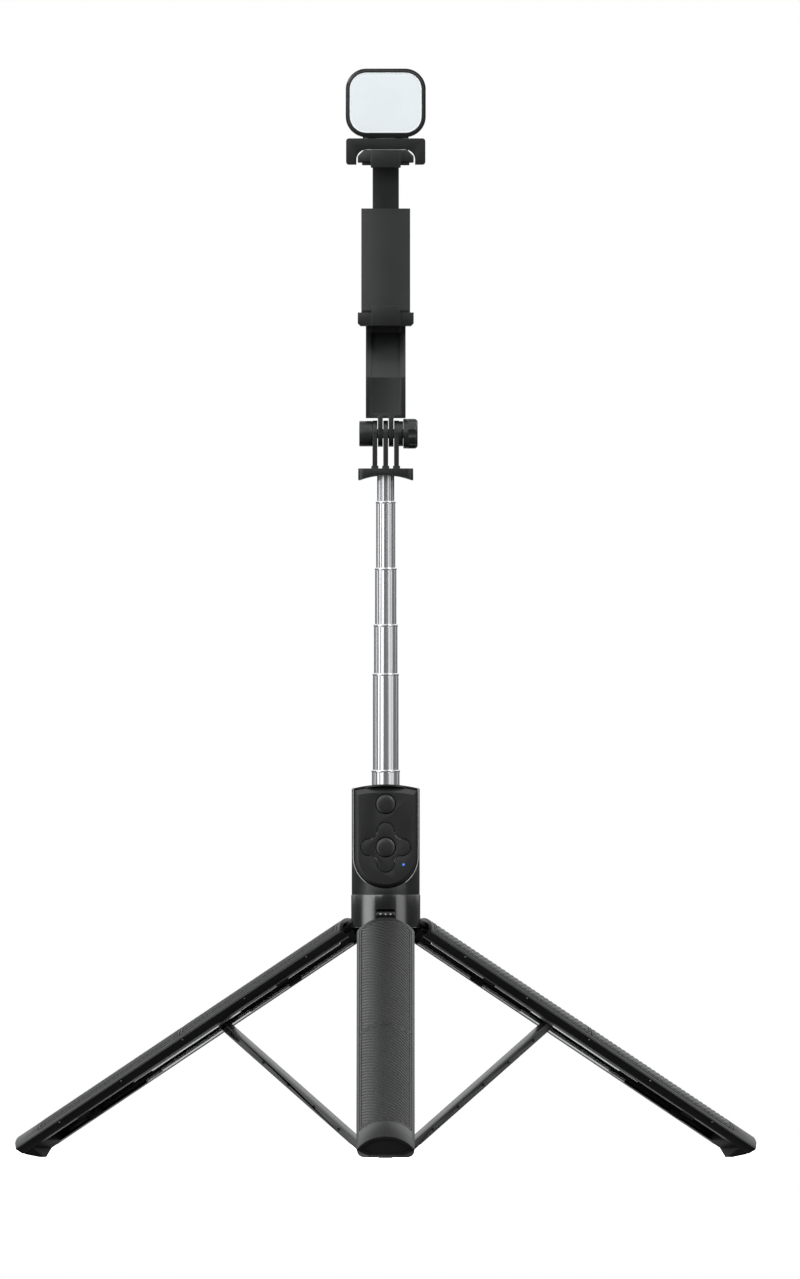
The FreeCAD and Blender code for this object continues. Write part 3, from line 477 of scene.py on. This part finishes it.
def pad_grid(bm, matrix, first, last):
    """The pad's outer face, as rows of vertices down the leg."""
    rows = int((last - first) / PAD_STEP)
    half = math.radians(PAD_HALF_ANGLE)
    grid = []
    for row in range(rows + 1):
        s = first + (last - first) * row / rows
        line = []
        for column in range(PAD_COLUMNS + 1):
            angle = -half + 2 * half * column / PAD_COLUMNS
            radius = pad_radius(s, angle, first, last)
            point = leg_point(radius * math.sin(angle), radius * math.cos(angle), s)
            line.append(bm.verts.new(matrix @ point))
        grid.append(line)
    return grid


def add_pad_skirt(bm, matrix, grid):
    """The pad's side walls, down to the bottom of its recess."""
    outline = grid[0] + [line[-1] for line in grid[1:]] + grid[-1][-2::-1]
    outline += [line[0] for line in grid[-2:0:-1]]
    inverse = matrix.inverted()
    skirt = []
    for vert in outline:
        local = inverse @ vert.co
        scale = PAD_BASE_R * MM / math.hypot(local.x, local.y)
        local.x, local.y = local.x * scale, local.y * scale
        skirt.append(bm.verts.new(matrix @ local))
    for i in range(len(outline)):
        j = (i + 1) % len(outline)
        bm.faces.new((outline[i], skirt[i], skirt[j], outline[j]))


def add_grip_pads(side):
    """Both ribbed rubber pads of a leg, each with a smooth rim round its ribs."""
    matrix = leg_matrix(side)
    bm = bmesh.new()
    for first, last in PAD_SPANS:
        grid = pad_grid(bm, matrix, first, last)
        for low, high in zip(grid, grid[1:]):
            for i in range(PAD_COLUMNS):
                bm.faces.new((low[i], low[i + 1], high[i + 1], high[i]))
        add_pad_skirt(bm, matrix, grid)
    node = side + "_leg_grip_pads"
    show(node + "_ribbed", finish_mesh(bm, node, 60.0), BODY_OF[node], SLOT_OF[node], [node])


def add_legs():
    """Pads, bright studs, plugs and softened castings of the three legs."""
    for side in SIDES:
        add_grip_pads(side)
        add_leg_pips(side)
        add_strut_plugs(side)
        refined(side + "_leg_shell", 0.35, paint="shell_black")
        refined(side + "_leg_frame", 0.12, 1)
        refined(side + "_leg_rail", 0.12, 1)
        refined(side + "_leg_foot", 0.5, 3)
        refined(side + "_strut", 0.3)


def leg_direction(t, h, s):
    """A unit direction across, out from and down the closed front leg."""
    return Vector((t, -h, -s)).normalized()


STUD_SEGMENTS = 24


def add_stud(name, place, outward, radius, height, body, slot, paint=None):
    """A small domed rivet or bead set on a surface; place in metres, sizes in millimetres."""
    turn = outward.to_track_quat("Z", "Y").to_matrix()

    def at(a, b, up):
        return place + turn @ (Vector((a, b, up)) * MM)

    profile = [(radius, -height, 0), (radius, height * 0.3, 0), (radius * 0.92, height * 0.65, 0),
               (radius * 0.7, height * 0.88, 0), (radius * 0.35, height, 0)]
    bm = lofted(revolved(profile, STUD_SEGMENTS, at))
    return show(name, finish_mesh(bm, name, 50.0), body, slot, paint=paint)


PIP_S = (33.0, 77.0, 121.0, 165.0, 209.0)
PIP_R, PIP_RADIUS, PIP_SUNK, PIP_HEIGHT = 16.75, 0.42, 0.22, 0.12
WALL_ANGLE = 60.0
TONGUE_DOTS = (-2.8, 0.0, 2.6)
TONGUE_REACH, TONGUE_SUNK, TONGUE_DOT_HEIGHT = 2.1, 0.02, 0.16


def add_leg_pips(side):
    """Bright steel studs: down both side walls on small dimples, their brightness a painted highlight for the
    dimples' glints; three across the hinge tongue, the steel pin showing there.
    """
    matrix = leg_matrix(side)
    turn = matrix.to_3x3()
    body = "leg_" + side
    for edge in (-1, 1):
        angle = math.radians(WALL_ANGLE)
        along_wall = Vector((edge * math.sin(angle), math.cos(angle)))
        out = leg_direction(edge * math.cos(angle), -math.sin(angle), 0.0)
        for index, s in enumerate(PIP_S):
            t, h = along_wall * PIP_R
            place = matrix @ (leg_point(t, h, s) - out * PIP_SUNK * MM)
            name = "%s_pip_%d_%s" % (side, index, "left" if edge < 0 else "right")
            # The dimples are real; the studs' bright steel is a painted highlight for their glints.
            add_stud(name, place, turn @ out, PIP_RADIUS, PIP_HEIGHT, body, "brushed_steel")
    lean = math.radians(LEG_OPEN)
    out = leg_direction(0.0, math.cos(lean), math.sin(lean))
    hinge = join_place("legs_fold").y
    for index, t in enumerate(TONGUE_DOTS):
        reach = TONGUE_REACH - TONGUE_SUNK
        place = leg_point(t, -hinge + reach * math.cos(lean), reach * math.sin(lean))
        name = "%s_tongue_dot_%d" % (side, index)
        add_stud(name, matrix @ place, turn @ out, PIP_RADIUS, TONGUE_DOT_HEIGHT, body, "brushed_steel")


STRUT_HOLES, STRUT_PITCH, STRUT_HOLE_R, STRUT_HALF = 5, 19.5, 0.95, 3.7
PLUG_SUNK, PLUG_HEIGHT = 0.8, 0.4


def add_strut_plugs(side):
    """Dark blind bushings in the holes along a strut."""
    pivot = join_place(side + "_strut_swing") * MM
    pin = join_place("hub_level") * MM
    pin = Matrix.Rotation(math.radians(SIDES[side][1]), 4, "Z") @ pin
    middle = (pivot + pin) / 2
    along = (pin - pivot).normalized()
    across = Matrix.Rotation(math.radians(SIDES[side][1]), 3, "Z") @ Vector((1.0, 0.0, 0.0))
    for edge in (-1, 1):
        for index in range(STRUT_HOLES):
            place = middle + along * (index - (STRUT_HOLES - 1) / 2) * STRUT_PITCH * MM
            place += across * edge * (STRUT_HALF - PLUG_SUNK) * MM
            name = "%s_strut_plug_%d_%s" % (side, index, "left" if edge < 0 else "right")
            add_stud(name, place, across * edge, STRUT_HOLE_R, PLUG_HEIGHT, "strut_" + side, "foot_rubber")


# Small steel domes on each tube's lip, placed to paint the lip's reflection highlights.
GLINT_ANGLES = (-32.0, 0.0, 32.0)
GLINT_DOWN, GLINT_SUNK, GLINT_RADIUS, GLINT_HEIGHT = 0.8, 0.02, 0.34, 0.12


def add_lip_glint_domes(number):
    """Three small steel domes round the front of a tube's lip, set where the lip shows reflection highlights:
    painted highlights.
    """
    node = "tube_%d" % number
    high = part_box(node)[1] / MM
    for index, angle in enumerate(GLINT_ANGLES):
        out = Matrix.Rotation(math.radians(angle), 3, "Z") @ Vector((0.0, -1.0, 0.0))
        place = (out * (high.x - GLINT_SUNK) + Vector((0.0, 0.0, high.z - GLINT_DOWN))) * MM
        name = "%s_lip_glint_%d" % (node, index)
        add_stud(name, place, out, GLINT_RADIUS, GLINT_HEIGHT, BODY_OF[node], "bright_steel")


# --- buttons and light ------------------------------------------------------------------------

def front_axis(centre_x, centre_z):
    """Maps a revolved profile to an axis along Y; a height is how far it stands towards -Y."""
    return lambda a, b, height: Vector((centre_x + a, -height, centre_z + b)) * MM


BUTTON_RADIUS, BUTTON_DEPTH, STEM_RADIUS = 5.15, 2.3, 2.0
DOME, DOME_STEPS, DOME_SPREAD, DOME_POWER, DOME_ROUND = 1.25, 16, 0.6, 1.8, 2.2


def dome_height(share):
    """How far the dome stands up at a share of the way out, as a part of its whole height."""
    return (1.0 - share ** DOME_POWER) ** (1 / DOME_ROUND)


def add_button(node):
    """A round push button with a softly domed cap, on its stem."""
    low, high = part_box(node)
    radius, stem = BUTTON_RADIUS, STEM_RADIUS
    centre = (low + high) / 2 / MM
    face, back = -low.y / MM, -high.y / MM
    under = face - BUTTON_DEPTH
    profile = [(stem, back, 0), (stem, under, 0), (radius, under, 0), (radius, face - DOME, 0)]
    for step in range(1, DOME_STEPS):
        share = 1.0 - step / DOME_STEPS
        profile.append((radius * share ** DOME_SPREAD, face - DOME * (1.0 - dome_height(share)), 0))
    loops = revolved(profile, 64, front_axis(centre.x, centre.z))
    bm = lofted(loops)
    show(node + "_cap", finish_mesh(bm, node, 50.0), BODY_OF[node], SLOT_OF[node], [node])


COIL_TURNS, COIL_STEPS, WIRE_SIDES = 34, 14, 6
COIL_RADIUS, WIRE_RADIUS = 0.84, 0.15


def spring_loops(across, middle, foot, head):
    """Rings of points along a coil that climbs from foot to head."""
    steps = COIL_TURNS * COIL_STEPS
    loops = []
    for step in range(steps + 1):
        share = step / steps
        turn = 2.0 * math.pi * COIL_TURNS * share
        height = foot + WIRE_RADIUS + (head - foot - 2.0 * WIRE_RADIUS) * share
        loop = []
        for side in range(WIRE_SIDES):
            around = 2.0 * math.pi * side / WIRE_SIDES
            radius = COIL_RADIUS + WIRE_RADIUS * math.cos(around)
            x, y = across + radius * math.cos(turn), middle + radius * math.sin(turn)
            loop.append(Vector((x, y, height + WIRE_RADIUS * math.sin(around))) * MM)
        loops.append(loop)
    return loops


def add_springs():
    """The clamp's two coil springs, which stretch between the body and the sliding jaw."""
    low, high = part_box("clamp_springs")
    foot, head = low.z / MM, high.z / MM
    middle = (low.y + high.y) / 2 / MM
    reach = high.x / MM - COIL_RADIUS - WIRE_RADIUS
    for name, across in (("left_spring_coil", -reach), ("right_spring_coil", reach)):
        mesh = finish_mesh(lofted(spring_loops(across, middle, foot, head)), name, 70.0)
        piece = bpy.data.objects.new(name, mesh)
        bpy.context.scene.collection.objects.link(piece)
        mesh.materials.append(MATERIALS["bright_steel"])
        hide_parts("clamp_springs")
        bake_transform(piece)


LIGHT_BOTTOM, LIGHT_CORNER, CORNER_CUT = 542.8, 11.0, 6.0


def light_loop(inset, y):
    """A loop round the light's front, moved in from its outline."""
    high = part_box("light_shell")[1] / MM
    centre_z = (LIGHT_BOTTOM + high.z) / 2
    half_x, half_z = high.x - inset, (high.z - LIGHT_BOTTOM) / 2 - inset
    points = rounded_rect(half_x, half_z, LIGHT_CORNER - min(inset, CORNER_CUT))
    return [Vector((x, y, centre_z + z)) * MM for x, z in points]


def add_diffuser():
    """The frosted window, gently pillowed."""
    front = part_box("light_diffuser")[0].y / MM
    shape = ((1.95, front + 2.2), (1.95, front + 0.7), (2.0, front + 0.35), (2.1, front + 0.12),
             (2.7, front + 0.02), (4.0, front - 0.05), (6.0, front - 0.1))
    bm = lofted([light_loop(inset, y) for inset, y in shape])
    mesh = finish_mesh(bm, "light_window", 40.0)
    show("light_window", mesh, "light", "diffuser", ["light_diffuser"])


LIP_HALF, LIP_Y, LIP_TOP, LIP_ROUND_Z, LIP_RADIUS = 17.25, -14.55, 196.6, 159.8, 0.26
LIP_STEPS, LIP_SIDES = 48, 12


def cradle_path():
    """The rim's middle line in x and z: down one side, round the bottom and up the other."""
    half_way = (LIP_TOP + LIP_ROUND_Z) / 2
    path = [Vector((-LIP_HALF, LIP_TOP)), Vector((-LIP_HALF, half_way))]
    for step in range(LIP_STEPS + 1):
        angle = math.pi * step / LIP_STEPS
        path.append(Vector((-LIP_HALF * math.cos(angle), LIP_ROUND_Z - LIP_HALF * math.sin(angle))))
    return path + [Vector((LIP_HALF, half_way)), Vector((LIP_HALF, LIP_TOP))]


def add_cradle_lip():
    """A lighter grey, half-metallic bead round the rim of the handle's cradle; its colour is a painted highlight
    along the rim.
    """
    path = cradle_path()
    loops = []
    for index, point in enumerate(path):
        ahead = path[min(index + 1, len(path) - 1)] - path[max(index - 1, 0)]
        side = Vector((-ahead.y, ahead.x)).normalized()
        loop = []
        for step in range(LIP_SIDES):
            angle = 2 * math.pi * step / LIP_SIDES
            across = side * LIP_RADIUS * math.cos(angle)
            depth = LIP_Y - LIP_RADIUS * math.sin(angle)
            loop.append(Vector((point.x + across.x, depth, point.y + across.y)) * MM)
        loops.append(loop)
    mesh = finish_mesh(lofted(loops), "cradle_lip", 60.0)
    # The bead's lighter paint is a painted highlight on the glossy rim.
    show("cradle_lip", mesh, "handle", "gloss_black", paint="rim_highlight_bead")


LED_X, LED_Z, LED_RADIUS, LED_HEIGHT, LED_SUNK = 9.5, 155.6, 0.62, 0.14, 0.03


def add_led():
    """The blue pairing lamp, flush in the remote's face."""
    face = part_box("remote_front")[0].y
    place = Vector((LED_X * MM, face + LED_SUNK * MM, LED_Z * MM))
    out = Vector((0.0, -1.0, 0.0))
    add_stud("pairing_lamp", place, out, LED_RADIUS, LED_HEIGHT, "remote", "dark_grey", "blue_led")


def light_ring(name, shape, slot, paint=None):
    """A closed bead round the light's window; shape lists how far in and how deep its section runs."""
    bm = lofted([light_loop(inset, y) for inset, y in shape], ring=True)
    show(name, finish_mesh(bm, name, 50.0), "light", slot, paint=paint)


def add_light_rings():
    """The dark bezel bead round the window, and the window's own bright edge."""
    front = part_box("light_diffuser")[0].y / MM
    bezel = ((0.9, front + 0.9), (0.9, front + 0.3), (1.1, front + 0.02), (1.4, front - 0.12),
             (2.0, front - 0.12), (2.25, front + 0.02), (2.25, front + 0.9))
    edge = ((2.2, front + 0.9), (2.2, front + 0.0), (2.35, front - 0.14),
            (2.6, front - 0.14), (2.75, front + 0.0), (2.75, front + 0.9))
    light_ring("light_bezel_ring", bezel, "matte_black")
    light_ring("light_window_edge", edge, "diffuser", "window_edge")


# How much each moulded or machined node's edges are rounded.
EDGE_ROUNDS = {
    "hub": 0.4, "collar": 0.25, "leg_yoke": 0.3, "handle_body": 0.4, "remote_front": 0.15,
    "remote_back": 0.4, "dpad": 0.12, "head_bracket": 0.35, "head_nut": 0.5, "thumb_knob": 0.3,
    "holder_arm": 0.4, "swivel_screw": 0.3, "clamp_body": 0.5, "clamp_slider": 0.5, "lower_pad": 0.3,
    "upper_pad": 0.3, "light_bracket": 0.5, "light_shell": 0.4, "light_button": 0.3,
}


def main():
    """Builds the stage, then every piece that dresses the frame."""
    bpy.context.scene.view_settings.view_transform = "Standard"
    add_camera()
    add_world()
    add_lights()
    add_floor()
    make_materials()
    for number in range(1, TUBE_COUNT + 1):
        add_tube(number)
    for number in range(1, TUBE_COUNT):
        add_lip_glint_domes(number)
    add_legs()
    for node in ("shutter_button", "ok_button"):
        add_button(node)
    add_springs()
    add_diffuser()
    add_led()
    add_cradle_lip()
    add_light_rings()
    for node, width in EDGE_ROUNDS.items():
        refined(node, width, 3)


def paint_rest():
    """The CAD nodes that stay as they are get their slot's material."""
    for node, part in frame["nodes"].items():
        part.data.materials.clear()
        part.data.materials.append(MATERIALS[SLOT_OF[node]])


main()
paint_rest()
